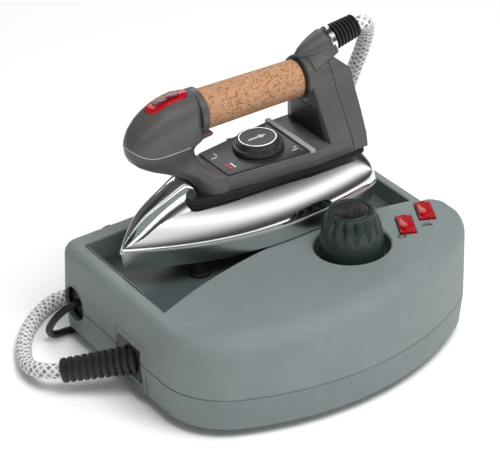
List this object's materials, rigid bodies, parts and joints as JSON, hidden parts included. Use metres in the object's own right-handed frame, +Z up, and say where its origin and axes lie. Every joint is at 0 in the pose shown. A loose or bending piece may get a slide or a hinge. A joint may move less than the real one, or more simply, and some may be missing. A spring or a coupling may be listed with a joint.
{
  "type": "steam generator iron",
  "caption": "Cork-handled steam iron resting in the recess of its boiler base, with a screw safety cap, two rocker switches, a braided steam hose and a mains lead.",
  "frame": {"origin": "on the ground, under the middle of the base casing", "axes": "+X along the long side of the base, from the iron nose to its heel; +Y to the back; +Z up"},
  "size_m": [0.4109, 0.418, 0.2805],
  "materials": {
    "casing": "fine texture, grey-green",
    "casing_dark": "fine texture, grey-green",
    "rubber": "matt",
    "steel": "satin",
    "brass": "machined",
    "ceramic": "matt",
    "black_plastic": "matt",
    "copper": "drawn tube",
    "red_lens": "translucent red",
    "red_button": "glossy red",
    "knob_plastic": "satin",
    "chrome": "polished",
    "aluminium": "brushed",
    "handle_plastic": "satin, warm dark grey",
    "panel_plastic": "satin",
    "dial_plastic": "satin",
    "cork": "natural cork",
    "braid": "woven braid",
    "lead_sheath": "satin"
  },
  "bodies": {
    "base": {"lower_casing": "casing_dark", "upper_casing": "casing", "rest_pads": "rubber", "feet": "rubber", "casing_screws": "steel", "boiler_shell": "steel", "boiler_neck": "brass", "well_seal": "rubber", "boiler_heater": "steel", "boiler_legs": "steel", "boiler_thermostat": "ceramic", "pressure_switch": "black_plastic", "solenoid_valve_body": "brass", "solenoid_coil": "black_plastic", "plunger_spring": "steel", "steam_pipes": "copper", "terminal_block": "ceramic", "switch_housings": "black_plastic", "steam_hose_fall": "braid", "steam_hose_run": "braid", "steam_hose_coil": "braid", "mains_lead": "lead_sheath", "mains_lead_coil": "lead_sheath", "mains_plug": "lead_sheath", "coil_ties": "black_plastic", "base_strain_relief": "rubber", "hose_gland_block": "black_plastic", "mains_gland": "black_plastic"},
    "iron": {"soleplate": "aluminium", "heating_element": "steel", "steam_chamber_cover": "aluminium", "chrome_shell": "chrome", "heat_shield": "black_plastic", "handle_base": "handle_plastic", "control_panel": "panel_plastic", "thermostat": "ceramic", "handle_head": "handle_plastic", "pilot_lens": "red_lens", "button_spring": "steel", "trigger_pin_rod": "steel", "microswitch": "black_plastic", "cork_grip": "cork", "handle_tube": "steel", "rear_post": "handle_plastic", "rear_cover": "handle_plastic", "iron_terminal_block": "ceramic", "hose_holder": "handle_plastic", "hose_clamp": "steel", "iron_strain_relief": "rubber"},
    "dial": {"dial": "dial_plastic", "dial_ring": "chrome"},
    "steam_button": {"steam_button": "red_button"},
    "trigger": {"trigger": "red_button"},
    "boiler_rocker": {"boiler_rocker": "red_lens"},
    "iron_rocker": {"iron_rocker": "red_lens"},
    "cap_core": {"cap_core": "brass", "cap_seal": "rubber"},
    "cap_knob": {"cap_knob": "knob_plastic", "cap_insert": "chrome"},
    "plunger": {"solenoid_plunger": "steel"}
  },
  "joints": [
    {"name": "iron_lift", "type": "slide", "parent": "base", "child": "iron", "axis": [0, 0, 1], "range_m": [0, 0.1], "deforming": ["steam_hose_fall"]},
    {"name": "dial_turn", "type": "hinge", "parent": "iron", "child": "dial", "pos_m": [0.00389, 0.047, 0.17845], "axis": [-0.0698, 0, 0.9976], "range_deg": [-150, 150]},
    {"name": "steam_button_press", "type": "slide", "parent": "iron", "child": "steam_button", "axis": [0.0698, 0, -0.9976], "range_m": [0, 0.0025], "stiffness_N_per_m": 800, "deforming": ["button_spring"]},
    {"name": "trigger_squeeze", "type": "hinge", "parent": "iron", "child": "trigger", "pos_m": [-0.06639, 0.047, 0.20862], "axis": [0, -1, 0], "range_deg": [0, 5], "stiffness_Nm_per_rad": 1},
    {"name": "boiler_rocker_tip", "type": "hinge", "parent": "base", "child": "boiler_rocker", "pos_m": [0.10157, -0.0444, 0.10609], "axis": [0.8966, -0.4384, 0.0627], "range_deg": [0, 10]},
    {"name": "iron_rocker_tip", "type": "hinge", "parent": "base", "child": "iron_rocker", "pos_m": [0.1291, -0.0356, 0.10801], "axis": [0.8966, -0.4384, 0.0627], "range_deg": [0, 10]},
    {"name": "cap_lift", "type": "slide", "parent": "base", "child": "cap_core", "axis": [-0.0698, 0, 0.9976], "range_m": [0, 0.024]},
    {"name": "cap_turn", "type": "hinge", "parent": "cap_core", "child": "cap_knob", "pos_m": [0.04589, -0.04, 0.10821], "axis": [-0.0698, 0, 0.9976], "range_deg": [0, 2880]},
    {"name": "plunger_stroke", "type": "slide", "parent": "base", "child": "plunger", "axis": [0, 0, 1], "range_m": [0, 0.003], "stiffness_N_per_m": 300, "deforming": ["plunger_spring"]}
  ],
  "couplings": [
    {"joint": "cap_lift", "follows": "cap_turn", "m_per_rad": 0.00047746}
  ]
}
